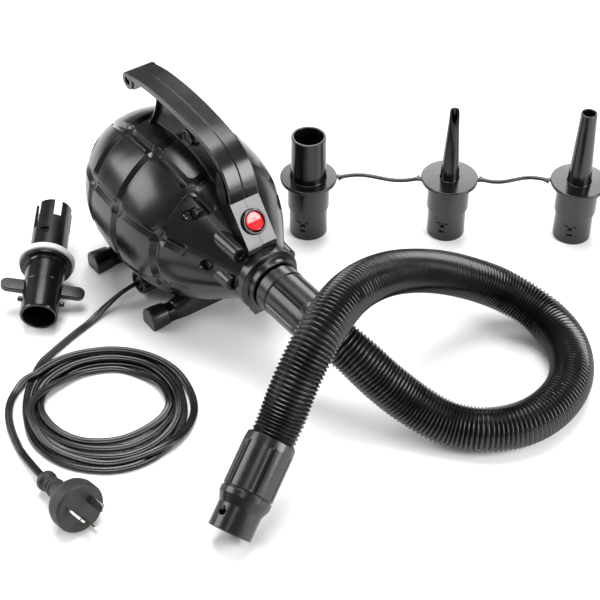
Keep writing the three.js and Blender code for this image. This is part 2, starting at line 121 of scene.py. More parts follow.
def tint(tree, source, low, high):
    """Mixes two colours by a 0 to 1 texture."""
    ramp = tree.nodes.new("ShaderNodeValToRGB")
    ramp.color_ramp.elements[0].position, ramp.color_ramp.elements[1].position = 0.35, 0.65
    ramp.color_ramp.elements[0].color, ramp.color_ramp.elements[1].color = (*low, 1), (*high, 1)
    tree.links.new(source, ramp.inputs["Fac"])
    return ramp.outputs["Color"]


def bump(tree, bsdf, height, strength, distance):
    node = tree.nodes.new("ShaderNodeBump")
    node.inputs["Strength"].default_value = strength
    node.inputs["Distance"].default_value = distance
    tree.links.new(height, node.inputs["Height"])
    tree.links.new(node.outputs["Normal"], bsdf.inputs["Normal"])


def plastic(name, color, rough, grain, depth):
    """Moulded plastic: a little cloudiness in its gloss and colour, and a fine moulded skin."""
    material, tree, bsdf = shader(name, color, sum(rough) / 2)
    cloud = noise(tree, 38, 4)
    tree.links.new(spread(tree, cloud, *rough), bsdf.inputs["Roughness"])
    lighter = tuple(c * 1.35 + 0.001 for c in color)
    tree.links.new(tint(tree, cloud, color, lighter), bsdf.inputs["Base Color"])
    bump(tree, bsdf, noise(tree, grain, 2), 0.35, depth)
    return material


def metal(name, color, rough, grain, stretch=(1, 1, 1)):
    """Bare metal with fine marks of its making."""
    material, tree, bsdf = shader(name, color, rough, metallic=1.0)
    marks = noise(tree, grain, 3, stretch)
    tree.links.new(spread(tree, marks, rough * 0.75, rough * 1.35), bsdf.inputs["Roughness"])
    darker = tuple(c * 0.8 for c in color)
    tree.links.new(tint(tree, marks, darker, color), bsdf.inputs["Base Color"])
    bump(tree, bsdf, marks, 0.2, 0.00005)
    return material


def red_lens():
    """The rocker: clear red plastic over a paler core, with a faint red emission that paints a glow into
    it.
    """
    material, tree, bsdf = shader(
        "switch_red", (0.6, 0.01, 0.018), 0.24, coat=0.5, Coat_Roughness=0.2,
        Subsurface_Weight=0.25, Subsurface_Scale=0.002, Emission_Strength=0.04,
    )
    # faint red emission: a painted glow in the lens, not a lamp that is on
    bsdf.inputs["Emission Color"].default_value = (1, 0.05, 0.04, 1)
    cloud = noise(tree, 160, 2)
    tree.links.new(tint(tree, cloud, (0.5, 0.006, 0.012), (0.68, 0.014, 0.022)), bsdf.inputs["Base Color"])
    bump(tree, bsdf, noise(tree, 600, 2), 0.1, 0.00004)
    return material


def foam():
    """The white gasket: closed-cell foam with tiny pores."""
    material, tree, bsdf = shader("gasket", (0.66, 0.66, 0.65), 0.65, Subsurface_Weight=0.1)
    pores = noise(tree, 1400, 4)
    tree.links.new(tint(tree, pores, (0.6, 0.6, 0.59), (0.7, 0.7, 0.69)), bsdf.inputs["Base Color"])
    bump(tree, bsdf, pores, 0.4, 0.00015)
    return material


def windings():
    """Enamelled copper wire, laid in fine parallel turns."""
    material, tree, bsdf = shader("copper", (0.55, 0.22, 0.1), 0.35, metallic=0.9)
    coordinates = tree.nodes.new("ShaderNodeTexCoord")
    wave = tree.nodes.new("ShaderNodeTexWave")
    wave.inputs["Scale"].default_value = 260
    tree.links.new(coordinates.outputs["Object"], wave.inputs["Vector"])
    wires = tint(tree, wave.outputs["Fac"], (0.35, 0.12, 0.05), (0.62, 0.26, 0.12))
    tree.links.new(wires, bsdf.inputs["Base Color"])
    bump(tree, bsdf, wave.outputs["Fac"], 0.6, 0.0003)
    return material


MATERIALS = {
    "housing": plastic("housing", (0.0032, 0.0032, 0.0035), (0.2, 0.28), 900, 0.00003),
    "grip": plastic("grip", (0.005, 0.005, 0.005), (0.2, 0.28), 2600, 0.00005),
    "trim": plastic("trim", (0.0035, 0.0035, 0.0037), (0.16, 0.24), 1100, 0.00003),
    "rubber": plastic("rubber", (0.006, 0.006, 0.006), (0.42, 0.6), 2200, 0.00012),
    "cap": plastic("cap", (0.005, 0.005, 0.005), (0.24, 0.34), 1800, 0.00006),
    "hose": plastic("hose", (0.0035, 0.0035, 0.0038), (0.18, 0.28), 700, 0.00004),
    "cuff": plastic("cuff", (0.004, 0.004, 0.004), (0.22, 0.3), 1500, 0.00004),
    "cord": plastic("cord", (0.004, 0.004, 0.004), (0.2, 0.3), 1500, 0.00004),
    "plug": plastic("plug", (0.011, 0.011, 0.011), (0.5, 0.62), 2400, 0.00010),
    "switch_red": red_lens(),
    "gasket": foam(),
    "steel": metal("steel", (0.6, 0.6, 0.62), 0.3, 900, (1, 8, 1)),
    "iron": metal("iron", (0.2, 0.2, 0.21), 0.5, 700, (30, 1, 1)),
    "copper": windings(),
    "carbon": plastic("carbon", (0.03, 0.03, 0.035), (0.6, 0.8), 1800, 0.0001),
    "brass": metal("brass", (0.72, 0.58, 0.32), 0.28, 1200),
    "nylon": plastic("nylon", (0.72, 0.69, 0.6), (0.4, 0.55), 900, 0.00005),
    # near-black steel for the housing screws: painted shade of the deep holes they sit in, not their own
    # colour
    "screw": metal("screw", (0.035, 0.035, 0.037), 0.5, 900),
    "pin": metal("pin", (0.62, 0.6, 0.56), 0.2, 1300, (1, 6, 1)),
}


# ---- shapes ----
class Shape:
    """Points in millimetres and the faces between them, gathered until they become one piece."""

    def __init__(self):
        self.points, self.faces = [], []

    def add(self, points, faces, matrix=ROW):
        start = len(self.points)
        self.points += [matrix @ Vector(p) for p in points]
        self.faces += [[start + i for i in face] for face in faces]
        return self

    def grid(self, rows, wrap_rows=False, wrap_columns=False, caps=False, matrix=ROW):
        """Rows of points joined into quads. Caps close the first and last row."""
        n, m = len(rows), len(rows[0])
        faces = [
            (i * m + j, i * m + (j + 1) % m, (i + 1) % n * m + (j + 1) % m, (i + 1) % n * m + j)
            for i in range(n if wrap_rows else n - 1)
            for j in range(m if wrap_columns else m - 1)
        ]
        if caps:
            faces += [tuple(range(m)), tuple(range((n - 1) * m, n * m))]
        return self.add([p for row in rows for p in row], faces, matrix)

    def lathe(self, profile, sides=64, axis="x", matrix=ROW, radius=None):
        """Turns [along, radius] points about X, Y or Z. A profile that starts and ends on the axis is
        closed there; any other one closes on itself. radius(along, r, angle) can change r."""
        on_axis = profile[0][1] == 0 and profile[-1][1] == 0
        rows = []
        for s, r in profile:
            row = []
            for i in range(sides):
                t = 2 * math.pi * i / sides
                q = radius(s, r, t) if radius and r else r
                a, b = q * math.cos(t), q * math.sin(t)
                row.append({"x": (s, a, b), "y": (b, s, a), "z": (a, b, s)}[axis])
            rows.append(row)
        return self.grid(rows, wrap_rows=not on_axis, wrap_columns=True, matrix=matrix)

    def slab(self, low, high, matrix=ROW):
        """Two outlines with the same number of points, joined and closed."""
        n = len(low)
        faces = [tuple(range(n)), tuple(range(n, 2 * n))]
        faces += [(i, (i + 1) % n, n + (i + 1) % n, n + i) for i in range(n)]
        return self.add([*low, *high], faces, matrix)

    def prism(self, outline, low, high, matrix=ROW):
        """An outline in X and Z pushed along Y."""
        ends = ([(x, y, z) for x, z in outline] for y in (low, high))
        return self.slab(*ends, matrix)

    def rim(self, outer, inner):
        """Joins the four edges of two sheets of points, which closes a wall."""
        for k in (0, -1):
            self.grid([outer[k], inner[k]])
            self.grid([[row[k] for row in outer], [row[k] for row in inner]])
        return self

    def loft(self, sections, matrix=ROW):
        """Closed sections with the same number of points, joined and capped."""
        return self.grid(sections, wrap_columns=True, caps=True, matrix=matrix)


def raw_object(name, shape, matrix=ROW):
    """A mesh object in metres in the row frame, with doubled points joined and faces turned out."""
    mesh = bpy.data.meshes.new(name)
    mesh.from_pydata([(matrix @ p) * MM for p in shape.points], [], shape.faces)
    work = bmesh.new()
    work.from_mesh(mesh)
    bmesh.ops.remove_doubles(work, verts=work.verts, dist=0.002 * MM)
    bmesh.ops.dissolve_degenerate(work, edges=work.edges, dist=0.002 * MM)
    bmesh.ops.recalc_face_normals(work, faces=work.faces)
    work.to_mesh(mesh)
    work.free()
    piece = bpy.data.objects.new(name, mesh)
    bpy.context.scene.collection.objects.link(piece)
    return piece


def apply_modifiers(piece):
    graph = bpy.context.evaluated_depsgraph_get()
    mesh = bpy.data.meshes.new_from_object(piece.evaluated_get(graph))
    piece.modifiers.clear()
    piece.data = mesh


def drill(piece, cutters, matrix=ROW):
    """Cuts each Shape out of the piece."""
    for i, cutter in enumerate(cutters):
        tool = raw_object(f"{piece.name}_cutter_{i}", cutter, matrix)
        modifier = piece.modifiers.new("cut", "BOOLEAN")
        modifier.operation, modifier.object, modifier.solver = "DIFFERENCE", tool, "EXACT"
        apply_modifiers(piece)
        bpy.data.objects.remove(tool)


def finish_piece(piece, material, body="pump", replaces=(), bevel=0, angle=35):
    """Gives a piece its edges, material and body."""
    if bevel:
        modifier = piece.modifiers.new("bevel", "BEVEL")
        modifier.width, modifier.segments, modifier.limit_method = bevel * MM, 3, "ANGLE"
        modifier.angle_limit = math.radians(40)
        modifier.harden_normals = True
        apply_modifiers(piece)
    piece.data.shade_smooth()
    piece.data.set_sharp_from_angle(angle=math.radians(angle))
    flat = piece.modifiers.new("normals", "WEIGHTED_NORMAL")  # large faces stay flat beside small edges
    flat.keep_sharp, flat.weight = True, 100
    apply_modifiers(piece)
    piece.data.materials.clear()
    piece.data.materials.append(MATERIALS[material])
    for polygon in piece.data.polygons:
        polygon.material_index = 0
    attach(piece, body)
    if replaces:
        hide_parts(*replaces)
    return piece


def rounded(points, radius, closed=False, steps=4):
    """A 2-D outline with each corner turned into an arc of at most that radius."""
    n, out = len(points), []
    for i, p in enumerate(points):
        if not closed and i in (0, n - 1):
            out.append(tuple(p))
            continue
        here, before, after = Vector(p), Vector(points[i - 1]), Vector(points[(i + 1) % n])
        a, b = before - here, after - here
        if a.length < 1e-6 or b.length < 1e-6:
            out.append(tuple(p))
            continue
        turn = math.pi - a.angle(b)
        if turn < 0.12:
            out.append(tuple(p))
            continue
        reach = min(radius * math.tan(turn / 2), 0.48 * a.length, 0.48 * b.length)
        start, end = here + a.normalized() * reach, here + b.normalized() * reach
        for k in range(steps + 1):
            t = k / steps
            point = start * (1 - t) ** 2 + here * 2 * t * (1 - t) + end * t * t
            out.append(tuple(point))
    return out


def smooth_path(points, step, closed=False):
    """A centripetal Catmull-Rom curve through the points, resampled every step millimetres."""
    p = [Vector(q) for q in points]
    p = [p[0] * 2 - p[1], *p, p[-1] * 2 - p[-2]]
    fine = []
    for i in range(1, len(p) - 2):
        a, b, c, d = p[i - 1 : i + 3]
        t0 = 0.0
        t1 = t0 + math.sqrt((b - a).length)
        t2 = t1 + math.sqrt((c - b).length)
        t3 = t2 + math.sqrt((d - c).length)
        for k in range(24):
            t = t1 + (t2 - t1) * k / 24
            a1 = a * ((t1 - t) / (t1 - t0)) + b * ((t - t0) / (t1 - t0))
            a2 = b * ((t2 - t) / (t2 - t1)) + c * ((t - t1) / (t2 - t1))
            a3 = c * ((t3 - t) / (t3 - t2)) + d * ((t - t2) / (t3 - t2))
            b1 = a1 * ((t2 - t) / (t2 - t0)) + a2 * ((t - t0) / (t2 - t0))
            b2 = a2 * ((t3 - t) / (t3 - t1)) + a3 * ((t - t1) / (t3 - t1))
            fine.append(b1 * ((t2 - t) / (t2 - t1)) + b2 * ((t - t1) / (t2 - t1)))
    fine.append(p[-2])
    return resampled(fine, step)


def path_length(points):
    return sum((b - a).length for a, b in zip(points, points[1:]))


def resampled(points, step):
    total = path_length(points)
    count = max(2, round(total / step))
    out, walked, i = [points[0]], 0.0, 0
    for k in range(1, count):
        goal = total * k / count
        while walked + (points[i + 1] - points[i]).length < goal:
            walked += (points[i + 1] - points[i]).length
            i += 1
        out.append(points[i].lerp(points[i + 1], (goal - walked) / (points[i + 1] - points[i]).length))
    return out + [points[-1]]


def frames(points, up=None):
    """For each point, the two directions across the path. With up, the first one stays level."""
    last = len(points) - 1
    tangents = [(points[min(i + 1, last)] - points[max(i - 1, 0)]).normalized() for i in range(last + 1)]
    out, side = [], None
    for tangent in tangents:
        if up is not None:
            side = up.cross(tangent).normalized()
        elif side is None:
            side = tangent.cross(Vector((0, 0, 1))).normalized()
        else:
            side = (side - tangent * side.dot(tangent)).normalized()
        out.append((side, tangent.cross(side)))
    return out


# ---- hose ----
HOSE_ROUTE = [
    (136.2, 0, 74), (141, 0, 74), (154, 2, 72.3), (170, 9, 63), (188, 20, 46), (207, 34, 29),
    (228, 49, 18.5), (248, 69, 16.6), (259, 97, 16.6), (256, 129, 16.6), (241, 156, 16.6),
    (214, 175, 17), (183, 178, 21), (157, 163, 33), (142, 132, 53), (138, 92, 76), (144, 50, 96),
    (157, 11, 107), (172, -22, 103.5), (180.5, -46.5, 84.5), (187.6, -66.5, 60),
    (191.9, -77.3, 49.8),
]
HOSE_R = 16.25
RIB_PITCH = 3.0
RIB_PROFILE = [1.6, 1.1, 0.3, 0.0, 0.3, 1.1]  # depth below the crest, once round a rib
HOSE_SIDES = 40


def make_hose():
    route = smooth_path(HOSE_ROUTE, RIB_PITCH / len(RIB_PROFILE))
    shape, rows = Shape(), []
    for i, (point, (side, other)) in enumerate(zip(route, frames(route))):
        r = HOSE_R - RIB_PROFILE[i % len(RIB_PROFILE)]
        angles = [2 * math.pi * k / HOSE_SIDES for k in range(HOSE_SIDES)]
        rows.append([point + side * (r * math.cos(t)) + other * (r * math.sin(t)) for t in angles])
    shape.grid(rows, wrap_columns=True, caps=True)
    piece = finish_piece(raw_object("corrugated_hose", shape), "hose", replaces=["hose"], angle=60)
    return piece, [p * MM for p in route[:: len(RIB_PROFILE)]] + [route[-1] * MM]


# ---- mains lead ----
LEAD_ROUTE = [
    (-35, -42.5, 13), (-35, -50, 12.8), (-35, -60, 11), (-34.5, -70, 7.5), (-32.6, -81, 4.2),
    (-29, -93, 2.9), (-25, -107, 2.9), (-20.5, -121, 2.9), (-16, -134, 2.9), (-11.5, -145, 2.9),
]
TAIL_ROUTE = [
    (-0.5, -165.5, 2.9), (4.3, -175.5, 2.9), (11, -183.3, 2.9), (20.5, -190, 2.9), (32, -195, 2.9),
    (45, -198.5, 2.9), (59, -200.8, 3.2), (75, -201.9, 4.6), (95, -202.6, 8.3),
]
COIL_CENTRE = Vector((59, -131, 0))
COIL_FIT = 0.98  # all turns are wound this much tighter than listed
CORD_WIDTH, CORD_THICKNESS = 5.6, 3.4
CORD_REST = 1.85  # height of the flat lead's middle when it lies on the floor
LAYER = 3.45  # rise to each further layer of turns
# One line per turn of the coil: angle round COIL_CENTRE, radius, and height in layers above the floor.
COIL_TURNS = [
    [(206, 66, 0), (220, 62, 0), (240, 58.5, 0), (270, 59, 0), (300, 59.4, 0), (330, 60.6, 0),
     (352, 61.3, 0)],
    [(15, 60.5, 0), (40, 58.5, 0), (60, 57, 0), (85, 57, 0), (115, 58.2, 0), (145, 59.8, 0),
     (175, 62, 0), (200, 62, 0)],
    [(214, 59, 0.6), (227, 56, 1), (248, 53.5, 1), (273, 51, 0.6), (297, 48, 0), (324, 47.5, 0),
     (350, 50, 0)],
    [(15, 51.8, 0), (38, 53.8, 0.5), (60, 53.6, 1), (85, 52.6, 1), (112, 52.3, 1), (144, 51.4, 1),
     (175, 52.2, 1), (204, 53.4, 1)],
    [(224, 52.8, 0.5), (244, 50, 0), (269, 46, 0), (296, 41.5, 0), (323, 39.8, 0), (352, 42, 0)],
    [(22, 45, 0), (48, 49.4, 0), (64, 50.6, 0), (88, 50.5, 0), (114, 50, 0), (144, 49.2, 0),
     (173, 50, 0), (202, 50.4, 0)],
    [(222, 49.6, 0.9), (240, 47.5, 1), (266, 41, 0.5), (293, 35.5, 0), (322, 32.6, 0),
     (352, 33.2, 0)],
    [(27, 38, 0), (46, 44.6, 0.6), (60, 46.8, 1), (86, 45, 0.6), (111, 42.6, 0), (139, 43, 0),
     (172, 43.4, 0.2), (200, 45.4, 1)],
    [(218, 49.6, 1.8), (236, 54.4, 2.05), (256, 54.6, 2), (280, 54.6, 1.2), (306, 53, 0.5),
     (330, 54, 0), (350, 56.2, 0.4)],
    [(10, 60.4, 1), (31, 64, 0.5), (52, 65.2, 0), (72, 63.8, 0), (95, 62.6, 0.5), (118, 60.4, 1),
     (145, 60.4, 1), (172, 62.2, 1), (190, 64.4, 1), (203, 66, 1)],
]


def coil_points():
    points = []
    for turn in COIL_TURNS:
        for degrees, r, layers in turn:
            t = math.radians(degrees)
            r *= COIL_FIT
            x, y = COIL_CENTRE.x + r * math.cos(t), COIL_CENTRE.y + r * math.sin(t)
            points.append((x, y, CORD_REST + layers * LAYER))
    return points


def lead_points():
    """The flat lead lies lower on the floor than the round tube of its route."""
    lead = [(x, y, z if z > 4 else CORD_REST) for x, y, z in LEAD_ROUTE]
    tail = [(x, y, z if z > 4 else CORD_REST) for x, y, z in TAIL_ROUTE]
    tail[0] = (*TAIL_ROUTE[0][:2], CORD_REST + 0.6 * LAYER)
    return lead + coil_points() + tail


EXIT_ROLL = math.radians(65)  # the flat lead leaves the pump on edge and lies down along its way
EXIT_ROLL_STEPS = 22


def cord_section():
    """Two cores side by side under one skin: an oval with a shallow groove along each flat."""
    section, sides = [], 24
    for i in range(sides):
        t = 2 * math.pi * i / sides
        x, z = CORD_WIDTH / 2 * math.cos(t), CORD_THICKNESS / 2 * math.sin(t)
        groove = 0.55 * math.exp(-((x / 0.7) ** 2))
        fuller = 1 + 0.14 * math.sin(2 * t) ** 2
        z = math.copysign(abs(z) * fuller - groove, z) if abs(z) > 0.8 else z * fuller
        section.append((x * fuller, z))
    return section


def make_lead():
    route = smooth_path(lead_points(), 2.2)
    section, rows = cord_section(), []
    for i, (point, (side, other)) in enumerate(zip(route, frames(route, Vector((0, 0, 1))))):
        roll = EXIT_ROLL * max(0.0, 1 - i / EXIT_ROLL_STEPS)
        across = side * math.cos(roll) + other * math.sin(roll)
        up = other * math.cos(roll) - side * math.sin(roll)
        rows.append([point + across * x + up * z for x, z in section])
    shape = Shape().grid(rows, wrap_columns=True, caps=True)
    nodes = ["cord_lead", "cord_coil", "cord_tail"]
    piece = finish_piece(raw_object("mains_lead", shape), "cord", replaces=nodes, angle=70)
    return piece, [p * MM for p in route]


# ---- plug ----
def turned_matrix(place, x=0, y=0, z=0, order="ZYX"):
    """Place plus turns in degrees; ZYX turns about X first, XYZ about Z first."""
    turns = {"X": spin(x, "X"), "Y": spin(y, "Y"), "Z": spin(z, "Z")}
    out = Matrix.Translation(place)
    for letter in order:
        out = out @ turns[letter]
    return out


PLUG = turned_matrix((100, -202.2, 9.3), y=-13.5, z=3, order="XYZ")
PLUG_PROFILE = [
    (-4, 0), (-4, 5), (-1, 7.3), (2, 7.3), (4.5, 5.4), (6, 5.3), (6.6, 6.3), (8.4, 6.4), (9, 5.5),
    (10.4, 5.6), (11, 6.8), (13, 7), (13.6, 6.2), (15, 6.4), (28, 10.8), (32.5, 16.9), (36, 18),
    (44.5, 18), (46, 16.9), (46, 0),
]
PIN_FACE = 46.3


def make_plug():
    body = Shape().lathe(rounded(PLUG_PROFILE, 1.2), 72, matrix=PLUG)
    plug = finish_piece(raw_object("plug", body), "plug", replaces=["plug_body"])
    pieces = [plug]
    for name, y, z, turn in [("active", -7.9, 4.2, 30), ("neutral", 7.9, 4.2, -30), ("earth", 0, -9.5, 0)]:
        matrix = PLUG @ turned_matrix((PIN_FACE, y, z)) @ spin(turn, "X")
        outline = [(0, -3.1), (14.6, -3.1), (17, -1.9), (17, 1.9), (14.6, 3.1), (0, 3.1)]
        blade = Shape().prism(outline, -0.8, 0.8, matrix)
        pin = raw_object(f"plug_blade_{name}", blade)
        node = f"plug_pin_{name}"
        pieces.append(finish_piece(pin, "pin", replaces=[node], bevel=0.35))
    return pieces


# ---- cuffs ----
CUFF_LENGTH = 46
CUFF_SLEEVE = [
    (9.8, 18.3), (10.2, 17.3), (10.9, 17.3), (11.3, 18), (44, 18), (49.2, 17.5), (49.6, 17.1), (49.6, 16.5),
    (45.6, 16.4), (45.6, 14.2), (10, 14.2), (8, 12.8), (0, 12.8), (-18, 12.8), (-18, 15.4),
]
NEAR_SHOULDER = [(-1.2, 15.5), (-0.6, 17.4), (0.4, 18.3)]
FAR_SHOULDER = [(-0.6, 15.5), (5.6, 18.3)]
CUFF_SIDES = 144
SLEEVE_RINGS = [0.01, 0.03, 0.25, 0.5, 0.75, 0.95, 0.97]  # parts of the sleeve's length
LAND_HALF = math.radians(5)  # half width of each raised strip along the cuff
LANDS = 6


def cuff_radius(along, r, angle):
    """Six narrow strips run along the sleeve, each between two fine grooves."""
    if not 11.4 < along < 43.2 or r < 16:
        return r
    step = 2 * math.pi / LANDS
    off = abs((angle + step / 2) % step - step / 2)
    fade = min(1, (along - 11.4) / 0.5, (43.2 - along) / 0.5)
    groove = 0.8 * math.exp(-(((off - LAND_HALF) / 0.022) ** 2))
    strip = 0.3 if off < LAND_HALF else 0.0
    return r + fade * (strip - groove)


def cuff_shape(shoulder, matrix):
    outline, profile = rounded(shoulder + CUFF_SLEEVE, 0.45, closed=True), []
    for (s0, r0), (s1, r1) in zip(outline, outline[1:] + outline[:1]):
        profile.append((s0, r0))
        if abs(s1 - s0) > 20 and r0 > 17:  # more rings along the outside, so the strips can fade
            profile += [(s0 + (s1 - s0) * k, r0 + (r1 - r0) * k) for k in SLEEVE_RINGS]
    return Shape().lathe(profile, CUFF_SIDES, matrix=matrix, radius=cuff_radius)


NEAR_CUFF = PUMP @ shift(123.6, 0, 0)
FAR_CUFF = turned_matrix((192.9, -79.9, 48), y=33, z=-66) @ turned_matrix((CUFF_LENGTH, 0, 0), y=180)
LOCK_HOLE_TURN = 70  # degrees round the spigot
LOCK_HOLE_R = 2.9


def keyhole(matrix):
    """The round lock hole with its short entry slot, through one side of a spigot."""
    turned_to = matrix @ spin(LOCK_HOLE_TURN, "X")
    bore = [(-25, 0), (-25, LOCK_HOLE_R), (-10, LOCK_HOLE_R), (-10, 0)]
    hole = Shape().lathe(bore, 28, "y", turned_to @ shift(-7, 0, 0))
    slot = Shape().prism([(-7, -1), (-3.2, -1), (-3.2, 1), (-7, 1)], -25, -10, turned_to)
    return [hole, slot]


def make_cuffs():
    """Both cuffs; returns the one at the hose's free end."""
    near = raw_object("pump_cuff", cuff_shape(NEAR_SHOULDER, NEAR_CUFF))
    finish_piece(near, "cuff", "hose_cuff", ["hose_cuff_pump_end"], angle=28)
    far = raw_object("free_cuff", cuff_shape(FAR_SHOULDER, FAR_CUFF))
    drill(far, keyhole(FAR_CUFF))
    nodes = ["hose_cuff_free_end", "hose_spigot_free_end"]
    return finish_piece(far, "cuff", "pump", nodes, angle=28)


hose, hose_line = make_hose()
far_cuff = make_cuffs()
lead, lead_line = make_lead()
plug_pieces = make_plug()


# ---- housing ----
SHELL = [
    (-84, 31), (-75, 40.1), (-60, 51.5), (-40, 60.6), (-15, 64.4), (10, 65.2), (35, 61.6), (60, 51),
    (80, 38), (95, 28), (107, 22.5),
]
WALL = 2.6
SEAM = 0.04  # each half stops this far from the middle plane
GROOVE_DEPTH = 3.0
# Distance from a groove's middle, and how deep it is there: a narrow flat floor and a wide bevel.
GROOVE = [(0, 1), (0.6, 1), (4.1, 0)]
EDGE = GROOVE[-1][0]
CORNER = 2.4  # the tile corners are cut off this far from each groove
GRID_LINES = [0.6, EDGE, EDGE + CORNER / 2, EDGE + CORNER]
GROOVE_LINES = [-g for g in reversed(GRID_LINES)] + GRID_LINES
RING_GROOVES = [-35, 5, 48]
MERIDIANS = [22.5, 67.5, 112.5, 157.5]  # degrees up from the bottom of each half
GROOVE_FRONT = 70  # the meridian grooves run out here


def spline_radius(x):
    """The housing's radius at x, on a smooth curve through SHELL."""
    xs, rs = [p[0] for p in SHELL], [p[1] for p in SHELL]
    n = len(xs)
    x = min(max(x, xs[0]), xs[-1])
    i = max(0, min(n - 2, next((k for k in range(n - 1) if x <= xs[k + 1]), n - 2)))

    def slope(k):
        lo, hi = max(k - 1, 0), min(k + 1, n - 1)
        return (rs[hi] - rs[lo]) / (xs[hi] - xs[lo])

    h = xs[i + 1] - xs[i]
    t = (x - xs[i]) / h
    return (
        rs[i] * (1 + 2 * t) * (1 - t) ** 2 + slope(i) * h * t * (1 - t) ** 2
        + rs[i + 1] * t * t * (3 - 2 * t) - slope(i + 1) * h * t * t * (1 - t)
    )


def skin_at(x, off):
    """Half the housing's height at x, in a plane at a distance off from the axis."""
    return math.sqrt(max(spline_radius(x) ** 2 - off * off, 0))


def groove_at(distance):
    """How deep a groove is, 0 to 1, at a distance from its middle."""
    for (a, da), (b, db) in zip(GROOVE, GROOVE[1:]):
        if a <= distance <= b:
            return da + (db - da) * (distance - a) / (b - a)
    return 0.0


def carved(u, v, meridian_depth):
    """The depth where a ring groove is u away and a meridian groove v away, with the tiles' cut corners."""
    corner = (u + v - 2 * EDGE - CORNER) / math.sqrt(2)
    at_corner = groove_at(max(EDGE + corner, 0)) if corner < 0 and meridian_depth > 0.99 else 0
    return GROOVE_DEPTH * max(groove_at(u), groove_at(v) * meridian_depth, at_corner)


def shell_stations():
    """Where the housing's rings of points stand along X, with each ring groove's own lines among them."""
    lines = [c + off for c in RING_GROOVES for off in GROOVE_LINES]
    reach = GRID_LINES[-1] + 1.5
    plain = [SHELL[0][0] + 3.4 * k for k in range(57)]
    plain = [x for x in plain if all(abs(x - c) > reach for c in RING_GROOVES)]
    ends = [SHELL[0][0], SHELL[-1][0], GROOVE_FRONT, GROOVE_FRONT - 2.5]
    return sorted(set(lines + plain + ends))


def shell_columns(r):
    """Angles round one half at radius r, and each one's distance to the nearest meridian's middle."""
    wide = max(r, 40)  # the grooves narrow towards the ends
    stops = [(SEAM / r, None)]
    for m in MERIDIANS:
        stops += [(math.radians(m) + off / wide, off) for off in GROOVE_LINES]
    stops.append((math.pi - SEAM / r, None))
    out = []
    for (a, off), (b, nxt) in zip(stops, stops[1:]):
        out.append((a, off))
        if off is None or nxt is None or nxt < off:
            out += [(a + (b - a) * k / 6, None) for k in range(1, 6)]
    return out + [stops[-1]]


def half_shell(side):
    """One half of the egg, grooved outside and plain inside, as a closed wall."""
    outer, inner, lines = [], [], []
    for x in shell_stations():
        r = spline_radius(x)
        off_ring = min((x - c for c in RING_GROOVES), key=abs)
        run_out = min(1, max(0, (GROOVE_FRONT - x) / 2.5))
        out_row, in_row, line_row = [], [], []
        for angle, off in shell_columns(r):
            depth = carved(abs(off_ring), 99 if off is None else abs(off), run_out)
            for row, q in ((out_row, r - depth), (in_row, r - WALL - GROOVE_DEPTH)):
                row.append((x, side * q * math.sin(angle), -q * math.cos(angle)))
            line_row.append((off_ring, 99 if off is None else off))
        outer.append(out_row)
        inner.append(in_row)
        lines.append(line_row)
    shape = Shape().grid(inner)
    n, m = len(outer), len(outer[0])
    triangles = []
    for i in range(n - 1):
        for j in range(m - 1):
            a, b, c, d = i * m + j, i * m + j + 1, (i + 1) * m + j + 1, (i + 1) * m + j
            same_way = (lines[i][j][0] > -0.01) == (lines[i][j][1] > -0.01)  # split along the cut corner
            triangles += [(a, b, d), (b, c, d)] if same_way else [(a, b, c), (a, c, d)]
    shape.add([point for row in outer for point in row], triangles)
    return shape.rim(outer, inner)


# The handle's top line, from its free rear end down to the switch panel, in X and Z.
BAND_TOP = [
    (-50, 95), (-30, 98.5), (0, 99.5), (25, 97.5), (50, 93), (65, 88), (76, 79.5), (83, 67), (85.5, 56),
]
BAND_THICKNESS = 5.5
BAND_HALF = 12.3
PANEL_TOP, PANEL_FOOT = Vector((85.5, 56)), Vector((107, 28.5))
EYELET = (-49, 88.5)
WEB_HALF = 7.0


def band_line():
    """Evenly spaced points of the handle's top line with their downward normals."""
    points = smooth_path([(x, 0, z) for x, z in BAND_TOP], 2.5)
    out = []
    for i, p in enumerate(points):
        t = (points[min(i + 1, len(points) - 1)] - points[max(i - 1, 0)]).normalized()
        out.append((p, Vector((t.z, 0, -t.x)) if t.x > 0 or t.z < 0 else Vector((0, 0, -1))))
    return out


def add_band(shape, side):
    """Half of the handle band: flat on top with rounded edges and a fine step at the parting line."""
    t, w = BAND_THICKNESS, BAND_HALF
    outline = rounded([(SEAM, 0.35), (SEAM + 0.45, 0), (w, 0), (w, t), (SEAM, t)], 1.1, closed=True)
    rows = []
    for point, down in band_line():
        rows.append([point + down * d + Vector((0, side * y, 0)) for y, d in outline])
    shape.grid(rows, wrap_columns=True, caps=True)


def add_eyelet(shape, side):
    """The tube across the handle's free end, for a hanging cord."""
    low, high = sorted((side * SEAM, side * (BAND_HALF + 0.2)))
    wall = rounded([(low, 3), (low, 7), (high, 7), (high, 3)], 0.8, closed=True)
    shape.lathe(wall, 40, "y", shift(EYELET[0], 0, EYELET[1]))
    ear = [(-50, 94), (-43, 82.9), (-40, 86), (-34, 92.5), (-34, 96)]
    low, high = sorted((side * 1.2, side * (BAND_HALF - 0.8)))
    shape.prism(ear, low, high)


def soft_rise(distance, radius):
    """How far a fillet of that radius stands out at a distance from the surface that it meets."""
    if distance >= radius:
        return 0.0
    return radius - math.sqrt(max(0.0, radius * radius - (radius - max(distance, 0)) ** 2))


WEB_COLUMNS = [0, 0.006, 0.018, 0.034, 0.048, 0.062, 0.08] + [0.08 + 0.023 * k for k in range(1, 41)]
WEB_RIM = 8.6  # half thickness at the web's rear edge
WEB_POCKET = 4.6  # half thickness inside the hollow behind that edge


def web_core(u):
    """Half the web's thickness before its fillets: a rounded rear rim, then a shallow hollow."""
    if u < 0.034:
        return WEB_RIM - 2.4 * (1 - math.sqrt(max(0.0, 1 - (1 - u / 0.034) ** 2)))
    step = min(1, (u - 0.034) / 0.046)
    return WEB_RIM + (WEB_POCKET - WEB_RIM) * step * step * (3 - 2 * step)


